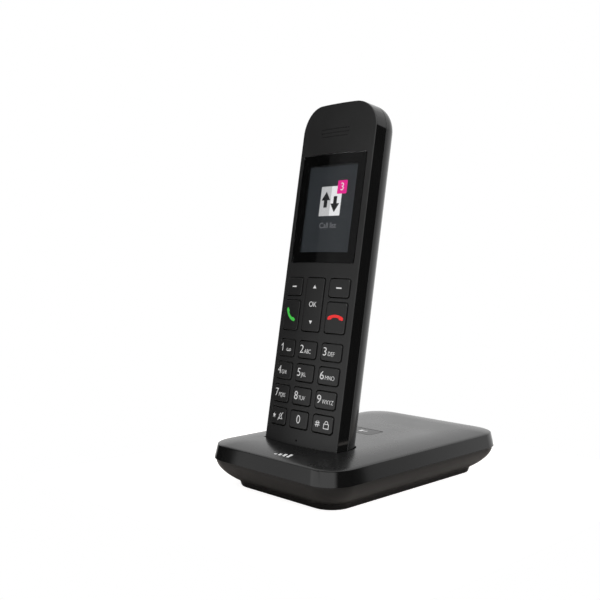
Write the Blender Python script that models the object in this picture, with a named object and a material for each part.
"""Cordless phone: a slim handset that leans back in the cradle of a flat charging base.

Units are metres, +Z is up and the user stands at -Y. The origin is the middle of the base's
footprint, on the surface that the base stands on. Handset pieces are modelled upright in the
handset's own frame (x across the face, y into the body, z along the face from the line where
it meets the base) and hang from an empty that leans back.
"""

import math

import bmesh
import bpy
from mathutils import Vector

MM = 0.001
GAP = 0.3 * MM  # air between two pieces that touch

# Handset outside
FACE_WIDTH = 47.0 * MM
FACE_LENGTH = 159.1 * MM  # from the base's top to the head
SEATED_LENGTH = 8.0 * MM  # the stretch hidden in the cradle
HEAD_RADIUS = 12.7 * MM
FOOT_RADIUS = 7.0 * MM
FACE_CROWN = 4.39  # the face falls away by FACE_CROWN * x * x
FRONT_DEPTH = 8.8 * MM  # back edge of the front cover
BACK_STRAIGHT = 10.4 * MM  # where the back starts to round off
BACK_RADIUS = 8.5 * MM
BACK_BLEND = math.radians(10)  # slope at which the rounding runs into the crowned back
WALL = 2.0 * MM
LEAN = math.radians(10.03)
CRADLE_POINT = (0.0, -42.4 * MM, 22.6 * MM)

# Keypad: columns and rows are measured on the face
KEY_INNER = 8.73 * MM
KEY_OUTER = 19.88 * MM
KEY_MIDDLE_HALF = 5.71 * MM
DIGIT_ROW_TOP = 47.05 * MM
DIGIT_ROW_PITCH = 10.65 * MM
DIGIT_HEIGHT = 7.79 * MM
CALL_LOW, CALL_HIGH = 51.7 * MM, 65.7 * MM
SOFT_LOW, SOFT_HIGH = 68.0 * MM, 76.4 * MM
KEY_RADIUS = 1.0 * MM
KEY_PROUD = 0.35 * MM
KEY_FLANGE = 0.85 * MM
KEYPAD_PLANE = 3.0 * MM  # inside of the front cover
FLANGE_BACK = 3.8 * MM
PLUNGER_TIP = 4.6 * MM

# Display
WINDOW_HALF = 20.1 * MM
WINDOW_LOW, WINDOW_HIGH = 83.7 * MM, 134.8 * MM
WINDOW_THICK = 0.9 * MM
SIGHT_HALF = 16.9 * MM
SIGHT_LOW, SIGHT_HIGH = 87.3 * MM, 131.0 * MM

# Battery compartment
CELL_RADIUS = 5.15 * MM
CELL_LENGTH = 44.5 * MM
CELL_X = 5.55 * MM
CELL_DEPTH = 13.4 * MM
TUB_HALF = 11.3 * MM
TUB_LOW, TUB_HIGH = 14.7 * MM, 67.5 * MM
TUB_FLOOR = 7.8 * MM
DOOR_HALF = 15.5 * MM
DOOR_LOW, DOOR_HIGH = 13.5 * MM, 68.7 * MM
DOOR_THICK = 1.1 * MM
HOOK_HALF = 1.2 * MM  # the door's tongue, between the two cells
COLUMN = (14.0 * MM, 3.0 * MM)  # the handset's screws, across and along

# Base
BASE_HALF_X = 41.1 * MM
BASE_HALF_Y = 61.15 * MM
BASE_RADIUS = 12.7 * MM
BASE_UNDERSIDE = 0.6 * MM
PARTING = 13.2 * MM
RIM = 20.0 * MM
PLATEAU = 22.3 * MM
DOME_RUN = 17.0 * MM  # the top falls to the rim over this distance
BAND_FLARE = 1.2 * MM
BASE_WALL = 2.0 * MM
POCKET_PLAY = 0.5 * MM
BOSS_X, BOSS_Y = 27.6 * MM, 36.0 * MM
FOOT_X, FOOT_Y = 24.5 * MM, 44.0 * MM
FOOT_PAD_RADIUS = 5.0 * MM
BASE_BOARD_LOW, BASE_BOARD_HIGH = 4.2 * MM, 5.8 * MM
PAGING_HALF_X = 8.8 * MM
PAGING_FRONT, PAGING_BACK = -2.1 * MM, 8.3 * MM
SOCKET_X = 16.0 * MM
SOCKET_BACK = 57.4 * MM
CONTACT_X = 9.0 * MM
CONTACT_DEPTH = 5.7 * MM
CONTACT_TOP = -7.7 * MM


# Scene helpers

def clear_scene():
    for thing in list(bpy.data.objects):
        bpy.data.objects.remove(thing, do_unlink=True)


def material(name, colour, roughness, metallic=0.0):
    found = bpy.data.materials.get(name)
    if found:
        return found
    made = bpy.data.materials.new(name)
    made.use_nodes = True
    shader = made.node_tree.nodes["Principled BSDF"]
    shader.inputs["Base Color"].default_value = (*colour, 1.0)
    shader.inputs["Roughness"].default_value = roughness
    shader.inputs["Metallic"].default_value = metallic
    return made


def black_matte():
    return material("matte black plastic", (0.016, 0.016, 0.017), 0.5)


def black_gloss():
    return material("gloss black plastic", (0.010, 0.010, 0.011), 0.2)


def key_plastic():
    return material("key plastic", (0.020, 0.020, 0.021), 0.38)


def board_green():
    return material("board laminate", (0.02, 0.12, 0.05), 0.45)


def silicone():
    return material("grey silicone", (0.20, 0.20, 0.21), 0.7)


def steel():
    return material("plated steel", (0.55, 0.55, 0.56), 0.3, 1.0)


def gold_plate():
    return material("gold plated contact", (0.75, 0.55, 0.22), 0.25, 1.0)


def frame_empty(name, location, lean):
    empty = bpy.data.objects.new(name, None)
    empty.location = location
    empty.rotation_euler = (-lean, 0.0, 0.0)
    bpy.context.scene.collection.objects.link(empty)
    return empty


def add_object(name, shape, skin=None, parent=None, origin=(0.0, 0.0, 0.0)):
    """Turns a bmesh into an object whose own origin is at `origin` in its parent's frame."""
    bmesh.ops.recalc_face_normals(shape, faces=shape.faces)
    bmesh.ops.translate(shape, verts=shape.verts, vec=-Vector(origin))
    mesh = bpy.data.meshes.new(name)
    shape.to_mesh(mesh)
    shape.free()
    made = bpy.data.objects.new(name, mesh)
    made.location = origin
    made.parent = parent
    bpy.context.scene.collection.objects.link(made)
    if skin:
        mesh.materials.append(skin)
    return made


def add_cutter(name, shape, parent=None):
    made = add_object(name, shape, parent=parent)
    made.hide_render = True
    made.display_type = "WIRE"
    return made


def boolean(piece, operation, cutter, crossing=False):
    """`crossing` is for a cutter whose own bodies run into each other."""
    step = piece.modifiers.new(cutter.name, "BOOLEAN")
    step.operation = operation
    step.solver = "EXACT"
    step.use_self = crossing
    step.object = cutter


def smooth(piece, angle=35):
    piece.data.shade_smooth()
    piece.data.set_sharp_from_angle(angle=math.radians(angle))


# Shapes: each one adds a closed body to a bmesh

def rounded_outline(half, low, high, low_radius, high_radius, steps, middle=0.0):
    """Points of a rounded rectangle as (across, along) pairs, anticlockwise."""
    corners = (
        (half - low_radius, low + low_radius, low_radius, -90),
        (half - high_radius, high - high_radius, high_radius, 0),
        (high_radius - half, high - high_radius, high_radius, 90),
        (low_radius - half, low + low_radius, low_radius, 180),
    )
    points = []
    for across, along, radius, start in corners:
        for step in range(steps + 1):
            angle = math.radians(start + 90.0 * step / steps)
            points.append((
                middle + across + radius * math.cos(angle),
                along + radius * math.sin(angle),
            ))
    return points


def circle_outline(radius, sides, middle=(0.0, 0.0)):
    turns = [2.0 * math.pi * (side + 0.5) / sides for side in range(sides)]
    return [(middle[0] + radius * math.cos(t), middle[1] + radius * math.sin(t)) for t in turns]


def loft(shape, rings):
    """Skins a row of equal rings and caps both ends."""
    rows = [[shape.verts.new(point) for point in ring] for ring in rings]
    shape.faces.new(rows[0])
    shape.faces.new(reversed(rows[-1]))
    for row, following in zip(rows, rows[1:]):
        for index in range(len(row)):
            after = (index + 1) % len(row)
            shape.faces.new((row[after], row[index], following[index], following[after]))
    return shape


def deep_ring(outline, depth):
    """An outline drawn on the face, at one depth or at a depth that varies across."""
    if callable(depth):
        return [(across, depth(across), along) for across, along in outline]
    return [(across, depth, along) for across, along in outline]


def level_ring(outline, height):
    return [(across, along, height) for across, along in outline]


def prism_y(shape, outline, front, back):
    return loft(shape, [deep_ring(outline, front), deep_ring(outline, back)])


def prism_z(shape, outline, low, high):
    return loft(shape, [level_ring(outline, low), level_ring(outline, high)])


def box(shape, low, high):
    outline = [(low[0], low[1]), (high[0], low[1]), (high[0], high[1]), (low[0], high[1])]
    return prism_z(shape, outline, low[2], high[2])


def strip(shape, path, low_x, high_x):
    """A thin sheet bent along a path of (y, z) points; Solidify gives it its thickness."""
    left = [shape.verts.new((low_x, y, z)) for y, z in path]
    right = [shape.verts.new((high_x, y, z)) for y, z in path]
    for index in range(len(path) - 1):
        shape.faces.new((left[index], right[index], right[index + 1], left[index + 1]))
    return shape


def thicken(piece, thickness):
    step = piece.modifiers.new("sheet thickness", "SOLIDIFY")
    step.thickness = thickness
    step.offset = 0.0


# Handset form

def crown(across):
    return FACE_CROWN * across * across


def face_solid(shape, half, low, high, radii, front, back, columns=16):
    """A rounded rectangle on the face built from columns, so its front can follow the crown.

    `front` and `back` give the depth at each place across.
    """
    low_radius, high_radius = radii
    places = {half * (2.0 * column / columns - 1.0) for column in range(1, columns)}
    for radius in radii:
        for step in range(6):
            run = half - radius * (1.0 - math.cos(math.radians(18.0 * step)))
            places.update((run, -run))
    places = sorted(places)
    places = [p for p, q in zip(places, places[1:] + [1.0]) if q - p > 0.05 * MM]

    def end_cut(across, radius):
        into = max(abs(across) - (half - radius), 0.0)
        return radius - math.sqrt(max(radius * radius - into * into, 0.0))

    rows = []
    for across in places:
        bottom, top = low + end_cut(across, low_radius), high - end_cut(across, high_radius)
        rows.append([
            shape.verts.new((across, front(across), bottom)),
            shape.verts.new((across, front(across), top)),
            shape.verts.new((across, back(across), top)),
            shape.verts.new((across, back(across), bottom)),
        ])
    shape.faces.new(rows[0])
    shape.faces.new(reversed(rows[-1]))
    for row, following in zip(rows, rows[1:]):
        for index in range(4):
            after = (index + 1) % 4
            shape.faces.new((row[after], row[index], following[index], following[after]))
    return shape


def back_levels():
    """(inset, depth) pairs of the back's form, from its side wall to the middle of the back."""
    levels = [(0.0, FRONT_DEPTH + GAP)]
    for step in range(6):
        angle = (math.pi / 2 - BACK_BLEND) * step / 5
        levels.append((BACK_RADIUS * (1 - math.cos(angle)), BACK_STRAIGHT + BACK_RADIUS * math.sin(angle)))
    blend_inset, blend_depth = levels[-1]
    run = FACE_WIDTH / 2 - blend_inset
    for share in (0.3, 0.6, 0.85):
        rise = run * math.tan(BACK_BLEND) / 2 * (1 - (1 - share) ** 2)
        levels.append((blend_inset + run * share, blend_depth + rise))
    return levels


def back_ring(offset, inset, depth):
    half = FACE_WIDTH / 2 - offset - inset
    share = half / (FACE_WIDTH / 2)
    outline = rounded_outline(
        half, -SEATED_LENGTH + offset + inset, FACE_LENGTH - offset - inset,
        FOOT_RADIUS * share, HEAD_RADIUS * share, 5,
    )
    return deep_ring(outline, depth - offset)


def back_core(offset):
    """The filled form of the handset's back, `offset` inside its outer skin."""
    rings = [back_ring(offset, 0.0, 5.0 * MM)]
    rings += [back_ring(offset, inset, depth) for inset, depth in back_levels()[1:]]
    return loft(bmesh.new(), rings)


def handset_section(offset):
    """The handset's cross section as (x, y) points, grown by `offset`."""
    half = FACE_WIDTH / 2 + offset
    points = [(half * step / 5, crown(half * step / 5) - offset) for step in range(-5, 6)]
    for inset, depth in back_levels()[1:]:
        points.append((half - inset, depth + offset))
    points += [(-x, y) for x, y in reversed(points[11:])]
    return points


def rear_flat(depth):
    return lambda across: depth


def on_crown(depth):
    return lambda across: crown(across) + depth


# Keys

def key_layout():
    """Every key as name, lowest and highest place across and along the face."""
    left = (-KEY_OUTER, -KEY_INNER)
    middle = (-KEY_MIDDLE_HALF, KEY_MIDDLE_HALF)
    right = (KEY_INNER, KEY_OUTER)
    keys = [
        ("key_soft_left", left, (SOFT_LOW, SOFT_HIGH)),
        ("key_soft_right", right, (SOFT_LOW, SOFT_HIGH)),
        ("key_nav", middle, (CALL_LOW, SOFT_HIGH)),
        ("key_talk", left, (CALL_LOW, CALL_HIGH)),
        ("key_end", right, (CALL_LOW, CALL_HIGH)),
    ]
    rows = (("1", "2", "3"), ("4", "5", "6"), ("7", "8", "9"), ("star", "0", "hash"))
    for row, labels in enumerate(rows):
        high = DIGIT_ROW_TOP - DIGIT_ROW_PITCH * row
        for label, span in zip(labels, (left, middle, right)):
            keys.append((f"key_{label}", span, (high - DIGIT_HEIGHT, high)))
    return keys


def grown(span, rise, growth, radius, steps=2):
    """A rounded rectangle around a key's spans, grown on every side."""
    middle = (span[0] + span[1]) / 2
    half = (span[1] - span[0]) / 2 + growth
    return rounded_outline(half, rise[0] - growth, rise[1] + growth, radius, radius, steps, middle)


def plunger_outline(name, span, rise, growth):
    middle, centre = (span[0] + span[1]) / 2, (rise[0] + rise[1]) / 2
    half_height = 8.0 * MM if name == "key_nav" else 1.5 * MM
    spans = (middle - 1.5 * MM, middle + 1.5 * MM), (centre - half_height, centre + half_height)
    return grown(*spans, growth, 0.8 * MM)


def make_key(name, span, rise, frame):
    """One key: a cap that follows the face, a flange under the cover and a plunger."""
    cap = grown(span, rise, 0.0, KEY_RADIUS)
    cap_top = grown(span, rise, -0.25 * MM, KEY_RADIUS)
    flange = grown(span, rise, KEY_FLANGE, KEY_RADIUS)
    plunger = plunger_outline(name, span, rise, 0.0)
    flange_front, flange_back = KEYPAD_PLANE + GAP, FLANGE_BACK
    if name == "key_nav":  # it rocks, so its flange needs more room above and below
        flange_front, flange_back = flange_front + 0.3 * MM, flange_back + 0.2 * MM
    rings = [
        deep_ring(cap_top, on_crown(-KEY_PROUD)),
        deep_ring(cap, on_crown(0.2 * MM - KEY_PROUD)),
        deep_ring(cap, flange_front),
        deep_ring(flange, flange_front),
        deep_ring(flange, flange_back),
        deep_ring(plunger, flange_back),
        deep_ring(plunger, PLUNGER_TIP),
    ]
    centre = ((span[0] + span[1]) / 2, KEYPAD_PLANE, (rise[0] + rise[1]) / 2)
    add_object(name, loft(bmesh.new(), rings), key_plastic(), frame, centre)


# Handset pieces

def make_front_cover(frame):
    outer = face_solid(
        bmesh.new(), FACE_WIDTH / 2, -SEATED_LENGTH, FACE_LENGTH, (FOOT_RADIUS, HEAD_RADIUS),
        on_crown(0.0), rear_flat(FRONT_DEPTH),
    )
    cover = add_object("handset_front_cover", outer, black_matte(), frame)

    inner_half = FACE_WIDTH / 2 - WALL
    cavity = rounded_outline(
        inner_half, WALL - SEATED_LENGTH, FACE_LENGTH - WALL,
        FOOT_RADIUS - WALL, HEAD_RADIUS - WALL, 5,
    )
    cavity_cut = add_cutter("front cavity", prism_y(bmesh.new(), cavity, KEYPAD_PLANE, 12 * MM), frame)
    boolean(cover, "DIFFERENCE", cavity_cut)

    bosses = bmesh.new()
    for side in (-1, 1):
        outline = circle_outline(2.6 * MM, 10, (side * COLUMN[0], COLUMN[1]))
        prism_y(bosses, outline, KEYPAD_PLANE - 1.0 * MM, FRONT_DEPTH)
    boolean(cover, "UNION", add_cutter("front screw bosses", bosses, frame))

    openings = bmesh.new()
    for name, span, rise in key_layout():
        prism_y(openings, grown(span, rise, GAP, KEY_RADIUS + GAP), -1 * MM, 4 * MM)
    for half, along in ((8.5, 146.6), (8.5, 144.9), (7.5, 143.4)):
        slot = rounded_outline(half * MM, (along - 0.35) * MM, (along + 0.35) * MM, 0.3 * MM, 0.3 * MM, 2)
        prism_y(openings, slot, -1 * MM, 4 * MM)
    prism_y(openings, circle_outline(0.5 * MM, 8, (0.0, 1.8 * MM)), -1 * MM, 4 * MM)
    for side in (-1, 1):
        prism_y(openings, circle_outline(1.2 * MM, 8, (side * COLUMN[0], COLUMN[1])), 4.5 * MM, 12 * MM)
        middle = side * CONTACT_X
        low = (middle - 1.6 * MM, CONTACT_DEPTH - 2.3 * MM, -9 * MM)
        high = (middle + 1.6 * MM, CONTACT_DEPTH + 2.3 * MM, -4 * MM)
        box(openings, low, high)
    sight = rounded_outline(SIGHT_HALF, SIGHT_LOW, SIGHT_HIGH, 0.8 * MM, 0.8 * MM, 2)
    prism_y(openings, sight, 0.5 * MM, 4 * MM)
    boolean(cover, "DIFFERENCE", add_cutter("face openings", openings, frame))

    recess = face_solid(
        bmesh.new(), WINDOW_HALF + GAP, WINDOW_LOW - GAP, WINDOW_HIGH + GAP, (1 * MM, 1 * MM),
        on_crown(-1 * MM), on_crown(WINDOW_THICK + GAP), 14,
    )
    boolean(cover, "DIFFERENCE", add_cutter("window recess", recess, frame))


def make_display(frame):
    glass = face_solid(
        bmesh.new(), WINDOW_HALF, WINDOW_LOW, WINDOW_HIGH, (0.8 * MM, 0.8 * MM),
        on_crown(0.0), on_crown(WINDOW_THICK), 14,
    )
    add_object("display_window", glass, material("smoked window", (0.004, 0.004, 0.005), 0.08), frame)
    module = box(bmesh.new(), (-18.2 * MM, 3.3 * MM, 83.5 * MM), (18.2 * MM, 5.4 * MM, 135.2 * MM))
    add_object("lcd_module", module, material("display panel", (0.03, 0.03, 0.036), 0.25), frame)


def back_prism(half, low, high, front, radius=1.5 * MM):
    outline = rounded_outline(half, low, high, radius, radius, 3)
    return prism_y(bmesh.new(), outline, front, 24 * MM)


def make_rear_cover(frame):
    inner = [back_ring(WALL, inset, depth) for inset, depth in reversed(back_levels()[1:])]
    rim = [back_ring(WALL, 0.0, FRONT_DEPTH + GAP + WALL), back_ring(0.0, 0.0, FRONT_DEPTH + GAP)]
    outer = [back_ring(0.0, inset, depth) for inset, depth in back_levels()[1:]]
    cover = add_object("handset_rear_cover", loft(bmesh.new(), inner + rim + outer), black_gloss(), frame)

    # The battery tub and the two screw columns grow out of the skin, so they end inside it.
    block_limit = add_cutter("mid skin form", back_core(WALL / 2), frame)
    tub = add_cutter("battery tub", back_prism(
        TUB_HALF + 1.2 * MM, TUB_LOW - 1.2 * MM, TUB_HIGH + 1.2 * MM, TUB_FLOOR - 0.7 * MM), frame)
    boolean(tub, "INTERSECT", block_limit)
    boolean(cover, "UNION", tub)
    columns = bmesh.new()
    for side in (-1, 1):
        outline = circle_outline(3.4 * MM, 12, (side * COLUMN[0], COLUMN[1]))
        prism_y(columns, outline, FRONT_DEPTH + GAP, 24 * MM)
    columns = add_cutter("rear screw columns", columns, frame)
    boolean(columns, "INTERSECT", block_limit)
    boolean(cover, "UNION", columns)

    recess = add_cutter("door recess", back_prism(
        DOOR_HALF, DOOR_LOW, DOOR_HIGH, TUB_FLOOR), frame)
    boolean(recess, "DIFFERENCE", add_cutter("door seat form", back_core(DOOR_THICK + GAP), frame))
    boolean(cover, "DIFFERENCE", recess)
    nail_slot = add_cutter("nail slot", back_prism(
        5.0 * MM, DOOR_HIGH - 0.5 * MM, DOOR_HIGH + 2.4 * MM, TUB_FLOOR, 1.0 * MM), frame)
    boolean(nail_slot, "DIFFERENCE", add_cutter("nail slot floor", back_core(1.0 * MM), frame))
    boolean(cover, "DIFFERENCE", nail_slot)

    openings = back_prism(TUB_HALF, TUB_LOW, TUB_HIGH, TUB_FLOOR, 1.0 * MM)
    hook_half = HOOK_HALF + GAP
    low = (-hook_half, 15.6 * MM, DOOR_LOW - 0.5 * MM)
    box(openings, low, (hook_half, 24 * MM, TUB_LOW + 0.5 * MM))
    for side in (-1, 1):
        screw = (side * COLUMN[0], COLUMN[1])
        prism_y(openings, circle_outline(1.3 * MM, 8, screw), 8 * MM, 24 * MM)
        prism_y(openings, circle_outline(2.3 * MM, 12, screw), 12 * MM, 24 * MM)
    for row in range(5):
        along = 115.0 * MM + row * 2.5 * MM
        prism_y(openings, rounded_outline(
            6.0 * MM, along - 0.5 * MM, along + 0.5 * MM, 0.4 * MM, 0.4 * MM, 2), 15 * MM, 24 * MM)
    boolean(cover, "DIFFERENCE", add_cutter("back openings", openings, frame), crossing=True)


def make_battery_cover(frame):
    """The door follows the back's skin; a tongue hooks it in at its lower edge."""
    blank = back_prism(DOOR_HALF - GAP, DOOR_LOW + GAP, DOOR_HIGH - GAP, TUB_FLOOR, 1.2 * MM)
    hinge_line = (0.0, 20.2 * MM, DOOR_LOW + GAP)
    door = add_object("battery_cover", blank, black_gloss(), frame, hinge_line)
    boolean(door, "INTERSECT", add_cutter("outer skin form", back_core(0.0), frame))
    boolean(door, "DIFFERENCE", add_cutter("door inside form", back_core(DOOR_THICK), frame))
    profile = [(16.2, 12.0), (17.2, 12.0), (17.2, 14.0), (19.4, 14.0), (19.4, 15.0), (16.2, 15.0)]
    tongue = loft(bmesh.new(), [
        [(x, y * MM, z * MM) for y, z in profile] for x in (-HOOK_HALF, HOOK_HALF)])
    boolean(door, "UNION", add_cutter("door tongue", tongue, frame))


def make_batteries(frame):
    jacket = material("cell jacket", (0.10, 0.22, 0.12), 0.35)
    for name, side, up in (("left", -1, 1), ("right", 1, -1)):
        x = side * CELL_X
        contact_end = TUB_HIGH if up > 0 else TUB_LOW
        spring_end = TUB_LOW if up > 0 else TUB_HIGH
        tip = contact_end - up * (2 * GAP + 0.5 * MM)
        shoulder = tip - up * 1.0 * MM
        tail = tip - up * CELL_LENGTH
        body = [circle_outline(radius, 20, (x, CELL_DEPTH)) for radius in (CELL_RADIUS, 1.9 * MM)]
        rings = [
            level_ring(body[0], tail), level_ring(body[0], shoulder),
            level_ring(body[1], shoulder), level_ring(body[1], tip),
        ]
        cell = add_object(f"battery_cell_{name}", loft(bmesh.new(), rings), jacket, frame)
        smooth(cell)

        near, far = sorted((tip + up * GAP, tip + up * (GAP + 0.5 * MM)))
        plate = box(bmesh.new(), (x - 4 * MM, 9.5 * MM, near), (x + 4 * MM, 17.3 * MM, far))
        add_object(f"battery_plate_{name}", plate, steel(), frame)
        make_battery_spring(f"battery_spring_{name}", x, spring_end + up * GAP, tail - up * GAP, frame)


def make_battery_spring(name, x, wide_end, narrow_end, frame):
    """A conical coil that presses on the cell's flat end."""
    wire, turns, steps = 0.3 * MM, 3.5, 12
    direction = 1 if narrow_end > wide_end else -1
    start, end = wide_end + direction * wire, narrow_end - direction * wire
    count = int(turns * steps)
    coil = []
    for index in range(count + 1):
        share = index / count
        angle = 2 * math.pi * turns * share
        radius = (3.6 - 1.6 * share) * MM
        point = Vector((
            x + radius * math.cos(angle), CELL_DEPTH + radius * math.sin(angle),
            start + (end - start) * share,
        ))
        along = Vector((-math.sin(angle), math.cos(angle), 0.0))
        outward = Vector((math.cos(angle), math.sin(angle), 0.0))
        upward = along.cross(outward)
        coil.append([
            point + wire * (outward * math.cos(a) + upward * math.sin(a))
            for a in (math.tau * side / 6 for side in range(6))
        ])
    spring = add_object(name, loft(bmesh.new(), coil), steel(), frame)
    smooth(spring, 60)


def make_handset_boards(frame):
    board = box(bmesh.new(), (-19.5 * MM, 5.8 * MM, 7.5 * MM), (19.5 * MM, 6.8 * MM, 136.0 * MM))
    add_object("handset_pcb", board, board_green(), frame)
    domes = box(bmesh.new(), (-20.2 * MM, 5.3 * MM, 7.5 * MM), (20.2 * MM, 5.5 * MM, 78.0 * MM))
    add_object("dome_sheet", domes, material("dome sheet", (0.72, 0.72, 0.70), 0.35), frame)

    sheet = box(bmesh.new(), (-20.7 * MM, 4.5 * MM, 6.8 * MM), (20.7 * MM, 5.0 * MM, 78.4 * MM))
    mat = add_object("keypad_mat", sheet, silicone(), frame)
    holes = bmesh.new()
    for name, span, rise in key_layout():
        prism_y(holes, plunger_outline(name, span, rise, 0.4 * MM), 4 * MM, 5.2 * MM)
    boolean(mat, "DIFFERENCE", add_cutter("plunger holes", holes, frame))

    can = box(bmesh.new(), (-12 * MM, 7.1 * MM, 82 * MM), (12 * MM, 9.0 * MM, 106 * MM))
    add_object("handset_rf_shield", can, steel(), frame)


def make_transducers(frame):
    def disc(name, radius, along, front, back, sides, skin):
        shape = prism_y(bmesh.new(), circle_outline(radius, sides, (0.0, along)), front, back)
        smooth(add_object(name, shape, skin, frame))

    disc("earpiece_speaker", 8.5 * MM, 145.8 * MM, 3.3 * MM, 7.3 * MM, 20, steel())
    disc("ringer_speaker", 9.0 * MM, 120.0 * MM, 13.6 * MM, 17.2 * MM, 20, steel())
    disc("microphone", 2.3 * MM, 1.8 * MM, 3.3 * MM, 5.3 * MM, 12, steel())


def make_charge_pads(frame):
    for name, side in (("left", -1), ("right", 1)):
        middle = side * CONTACT_X
        low = (middle - 1.3 * MM, CONTACT_DEPTH - 2.0 * MM, CONTACT_TOP + GAP)
        high = (middle + 1.3 * MM, CONTACT_DEPTH + 2.0 * MM, -4.9 * MM)
        add_object(f"charge_pad_{name}", box(bmesh.new(), low, high), gold_plate(), frame)


def make_handset_screws(frame):
    for name, side in (("left", -1), ("right", 1)):
        centre = (side * COLUMN[0], COLUMN[1])
        shank, head = circle_outline(1.0 * MM, 12, centre), circle_outline(1.9 * MM, 12, centre)
        rings = [
            deep_ring(shank, 5.2 * MM), deep_ring(shank, 12.3 * MM),
            deep_ring(head, 12.3 * MM), deep_ring(head, 13.7 * MM),
        ]
        smooth(add_object(f"handset_screw_{name}", loft(bmesh.new(), rings), steel(), frame))


# Base pieces

def top_height(inset):
    """Height of the base's top, which falls from the plateau to the rim."""
    share = min(inset / DOME_RUN, 1.0)
    return RIM + (PLATEAU - RIM) * (1.0 - (1.0 - share) ** 2.2)


def base_ring(inset, height):
    half = BASE_HALF_X - inset
    radius = BASE_RADIUS * half / BASE_HALF_X
    reach = BASE_HALF_Y - inset
    return level_ring(rounded_outline(half, -reach, reach, radius, radius, 6), height)


def dome_rings(offset):
    insets = [17.0, 12.0, 8.0, 4.5, 2.0, 0.7]
    return [base_ring(i * MM + offset, top_height(i * MM) - offset) for i in insets]


def base_core(offset):
    """The filled form of the base's upper shell, `offset` inside its outer skin."""
    side = [base_ring(offset - BAND_FLARE, 2 * MM), base_ring(offset, RIM - 0.8 * MM - offset)]
    return loft(bmesh.new(), side + list(reversed(dome_rings(offset))))


def make_socket_cutter():
    windows = bmesh.new()
    for side in (-1, 1):
        low = (side * SOCKET_X - 6.9 * MM, 48 * MM, BASE_BOARD_HIGH + GAP)
        box(windows, low, (side * SOCKET_X + 6.9 * MM, 66 * MM, 17.4 * MM))
    return add_cutter("socket windows", windows)


def make_top_cover(cradle, socket_windows):
    inner_side = [
        base_ring(BASE_WALL, RIM - 0.8 * MM - BASE_WALL),
        base_ring(BASE_WALL - BAND_FLARE, PARTING + GAP / 2),
    ]
    outer_side = [
        base_ring(-BAND_FLARE, PARTING + GAP / 2),
        base_ring(-0.1 * MM, RIM - 0.6 * MM),
        base_ring(0.15 * MM, RIM - 0.1 * MM),
    ]
    rings = dome_rings(BASE_WALL) + inner_side + outer_side + list(reversed(dome_rings(0.0)))
    cover = add_object("base_top_cover", loft(bmesh.new(), rings), black_matte())

    # The cradle's tub leans with the handset; it and the screw bosses end inside the skin.
    limit = add_cutter("mid cover form", base_core(BASE_WALL / 2))
    tub = bmesh.new()
    floor = -SEATED_LENGTH - GAP
    prism_z(tub, handset_section(POCKET_PLAY + 1.8 * MM), floor - 1.8 * MM, 20 * MM)
    tub = add_cutter("cradle tub", tub, cradle)
    boolean(tub, "INTERSECT", limit)
    boolean(cover, "UNION", tub)
    bosses = bmesh.new()
    for side_x in (-1, 1):
        for side_y in (-1, 1):
            centre = (side_x * BOSS_X, side_y * BOSS_Y)
            prism_z(bosses, circle_outline(3.2 * MM, 12, centre), 8.5 * MM, PLATEAU - 1.2 * MM)
    boolean(cover, "UNION", add_cutter("top screw bosses", bosses))

    pocket = bmesh.new()
    prism_z(pocket, handset_section(POCKET_PLAY), floor, 30 * MM)
    for side in (-1, 1):
        middle = side * CONTACT_X
        low = (middle - 1.6 * MM, CONTACT_DEPTH - 2.4 * MM, floor - 4 * MM)
        box(pocket, low, (middle + 1.6 * MM, CONTACT_DEPTH + 2.4 * MM, floor + 1 * MM))
    boolean(cover, "DIFFERENCE", add_cutter("cradle pocket", pocket, cradle), crossing=True)

    openings = bmesh.new()
    prism_z(openings, paging_outline(GAP), 18 * MM, 25 * MM)
    for side_x in (-1, 1):
        for side_y in (-1, 1):
            centre = (side_x * BOSS_X, side_y * BOSS_Y)
            prism_z(openings, circle_outline(1.75 * MM, 10, centre), 8 * MM, 16.5 * MM)
    boolean(cover, "DIFFERENCE", add_cutter("top openings", openings))
    boolean(cover, "DIFFERENCE", socket_windows)


def make_bottom_cover(socket_windows):
    """A shallow hull: it sweeps in from the parting line to a small flat foot."""
    inner = [(10.4, 2.6), (7.4, 4.3), (5.0, 6.4), (2.7, 9.2), (1.6, 11.9), (1.5, 13.05)]
    outer = [(-0.5, 13.05), (-0.3, 11.4), (0.9, 8.6), (3.2, 5.6), (5.6, 3.5), (7.3, 2.4),
             (7.8, 1.6), (8.3, BASE_UNDERSIDE / MM)]
    rings = [base_ring(inset * MM, height * MM) for inset, height in inner + outer]
    cover = add_object("base_bottom_cover", loft(bmesh.new(), rings), black_matte())

    sleeves = bmesh.new()
    openings = bmesh.new()
    for side_x in (-1, 1):
        for side_y in (-1, 1):
            screw = (side_x * BOSS_X, side_y * BOSS_Y)
            prism_z(sleeves, circle_outline(4.4 * MM, 12, screw), 1.6 * MM, 8.2 * MM)
            prism_z(openings, circle_outline(1.75 * MM, 10, screw), 0.0, 9 * MM)
            prism_z(openings, circle_outline(3.2 * MM, 12, screw), 0.0, 3.2 * MM)
            foot = (side_x * FOOT_X, side_y * FOOT_Y)
            prism_z(openings, circle_outline(FOOT_PAD_RADIUS + GAP, 16, foot), 0.0, 1.7 * MM)
    boolean(cover, "UNION", add_cutter("bottom screw sleeves", sleeves))
    boolean(cover, "DIFFERENCE", add_cutter("bottom openings", openings), crossing=True)
    boolean(cover, "DIFFERENCE", socket_windows)


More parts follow.
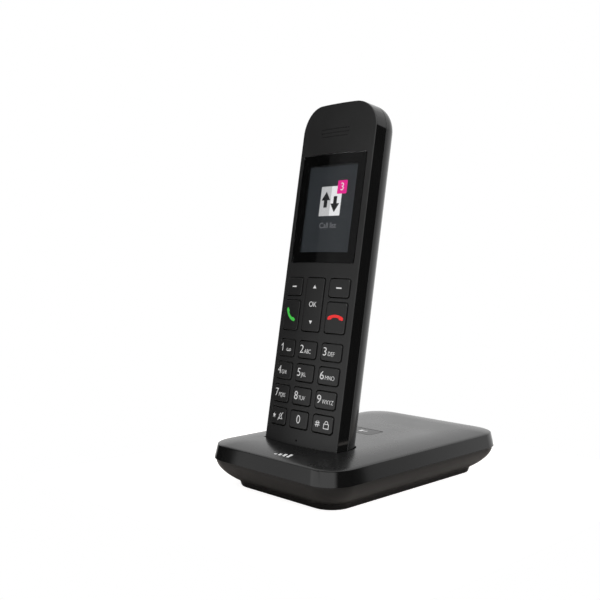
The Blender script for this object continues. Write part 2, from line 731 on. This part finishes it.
def make_feet_and_screws():
    rubber = material("foot rubber", (0.03, 0.03, 0.03), 0.85)
    number = 0
    for side_y in (-1, 1):
        for side_x in (-1, 1):
            number += 1
            centre = (side_x * FOOT_X, side_y * FOOT_Y)
            pad = circle_outline(FOOT_PAD_RADIUS, 16, centre)
            tread = circle_outline(FOOT_PAD_RADIUS - 0.4 * MM, 16, centre)
            rings = [level_ring(tread, 0.0), level_ring(pad, 0.4 * MM), level_ring(pad, 1.4 * MM)]
            smooth(add_object(f"base_foot_{number}", loft(bmesh.new(), rings), rubber))

            centre = (side_x * BOSS_X, side_y * BOSS_Y)
            head, shank = circle_outline(2.8 * MM, 12, centre), circle_outline(1.4 * MM, 12, centre)
            rings = [
                level_ring(head, 1.0 * MM), level_ring(head, 2.9 * MM),
                level_ring(shank, 2.9 * MM), level_ring(shank, 15.5 * MM),
            ]
            smooth(add_object(f"base_screw_{number}", loft(bmesh.new(), rings), steel()))


def paging_outline(growth, shrink=0.0):
    return rounded_outline(
        PAGING_HALF_X + growth - shrink, PAGING_FRONT - growth + shrink,
        PAGING_BACK + growth - shrink, 1.2 * MM + growth, 1.2 * MM + growth, 3,
    )


def make_paging_key():
    middle_y = (PAGING_FRONT + PAGING_BACK) / 2
    flange = rounded_outline(PAGING_HALF_X + 1.2 * MM, PAGING_FRONT - 1.2 * MM, PAGING_BACK + 1.2 * MM,
                             1.5 * MM, 1.5 * MM, 3)
    rod = rounded_outline(1.5 * MM, middle_y - 1.5 * MM, middle_y + 1.5 * MM, 0.8 * MM, 0.8 * MM, 3)
    under = PLATEAU - BASE_WALL - GAP
    rings = [
        level_ring(paging_outline(0.0, 0.25 * MM), PLATEAU),
        level_ring(paging_outline(0.0), PLATEAU - 0.2 * MM),
        level_ring(paging_outline(0.0), under),
        level_ring(flange, under),
        level_ring(flange, under - 0.8 * MM),
        level_ring(rod, under - 0.8 * MM),
        level_ring(rod, 11.0 * MM),
    ]
    add_object("paging_key", loft(bmesh.new(), rings), key_plastic(), origin=(0.0, middle_y, PLATEAU))
    low, high = (-3 * MM, middle_y - 3 * MM, 6.1 * MM), (3 * MM, middle_y + 3 * MM, 9.4 * MM)
    switch = add_object("paging_switch", box(bmesh.new(), low, high), black_matte())
    button = prism_z(bmesh.new(), circle_outline(1.7 * MM, 12, (0.0, middle_y)), 9.0 * MM, 9.9 * MM)
    boolean(switch, "UNION", add_cutter("switch button", button))


def make_base_electronics():
    low, high = (-22.5 * MM, -15 * MM, BASE_BOARD_LOW), (22.5 * MM, 52 * MM, BASE_BOARD_HIGH)
    add_object("base_pcb", box(bmesh.new(), low, high), board_green())
    low, high = (-18 * MM, 14 * MM, 6.1 * MM), (10 * MM, 36 * MM, 9.2 * MM)
    add_object("base_rf_shield", box(bmesh.new(), low, high), steel())

    path = [(16, 6.3), (16, 12), (40, 12), (40, 9.5)]
    strap = strip(bmesh.new(), [(y * MM, z * MM) for y, z in path], 18.5 * MM, 20.5 * MM)
    antenna = add_object("base_antenna", strap, steel())
    thicken(antenna, 0.4 * MM)


def make_sockets():
    """Two modular jacks face the back: the line's and the power supply's."""
    shell = material("socket plastic", (0.025, 0.025, 0.027), 0.45)
    for name, middle, half in (("phone_socket", SOCKET_X, 4.9 * MM), ("power_socket", -SOCKET_X, 4.3 * MM)):
        low = (middle - 6.6 * MM, 44.5 * MM, 6.1 * MM + GAP)
        body = box(bmesh.new(), low, (middle + 6.6 * MM, SOCKET_BACK, 17.0 * MM))
        jack = add_object(name, body, shell)
        cavity = box(bmesh.new(), (middle - half, 47.5 * MM, 8.0 * MM), (middle + half, 60 * MM, 14.6 * MM))
        box(cavity, (middle - 3.0 * MM, 47.5 * MM, 14.0 * MM), (middle + 3.0 * MM, 60 * MM, 15.8 * MM))
        boolean(jack, "DIFFERENCE", add_cutter(f"{name} cavity", cavity), crossing=True)


def make_charge_contacts(cradle):
    """Sprung strips that rise through the cradle's floor to the handset's charge pads."""
    floor_under = -SEATED_LENGTH - GAP - 1.8 * MM
    shelf = floor_under - GAP - 0.2 * MM
    arch, thickness = 1.6 * MM, 0.4 * MM
    top = CONTACT_TOP - thickness / 2 - arch
    path = [(-3.6 * MM, shelf), (-arch, shelf)]
    path += [(-arch * math.cos(a), top + arch * math.sin(a)) for a in (math.pi * i / 6 for i in range(7))]
    path += [(arch, shelf), (3.6 * MM, shelf)]
    for name, side in (("left", -1), ("right", 1)):
        middle = side * CONTACT_X
        points = [(CONTACT_DEPTH + y, z) for y, z in path]
        shape = strip(bmesh.new(), points, middle - 1.1 * MM, middle + 1.1 * MM)
        contact = add_object(f"charge_contact_{name}", shape, gold_plate(), cradle,
                             (middle, CONTACT_DEPTH, CONTACT_TOP))
        thicken(contact, thickness)


def main():
    clear_scene()
    handset = frame_empty("handset frame", CRADLE_POINT, LEAN)
    cradle = frame_empty("cradle frame", CRADLE_POINT, LEAN)
    make_front_cover(handset)
    make_display(handset)
    make_rear_cover(handset)
    make_battery_cover(handset)
    make_batteries(handset)
    make_handset_boards(handset)
    make_transducers(handset)
    make_charge_pads(handset)
    make_handset_screws(handset)
    for name, span, rise in key_layout():
        make_key(name, span, rise, handset)

    socket_windows = make_socket_cutter()
    make_top_cover(cradle, socket_windows)
    make_bottom_cover(socket_windows)
    make_feet_and_screws()
    make_paging_key()
    make_base_electronics()
    make_sockets()
    make_charge_contacts(cradle)


main()
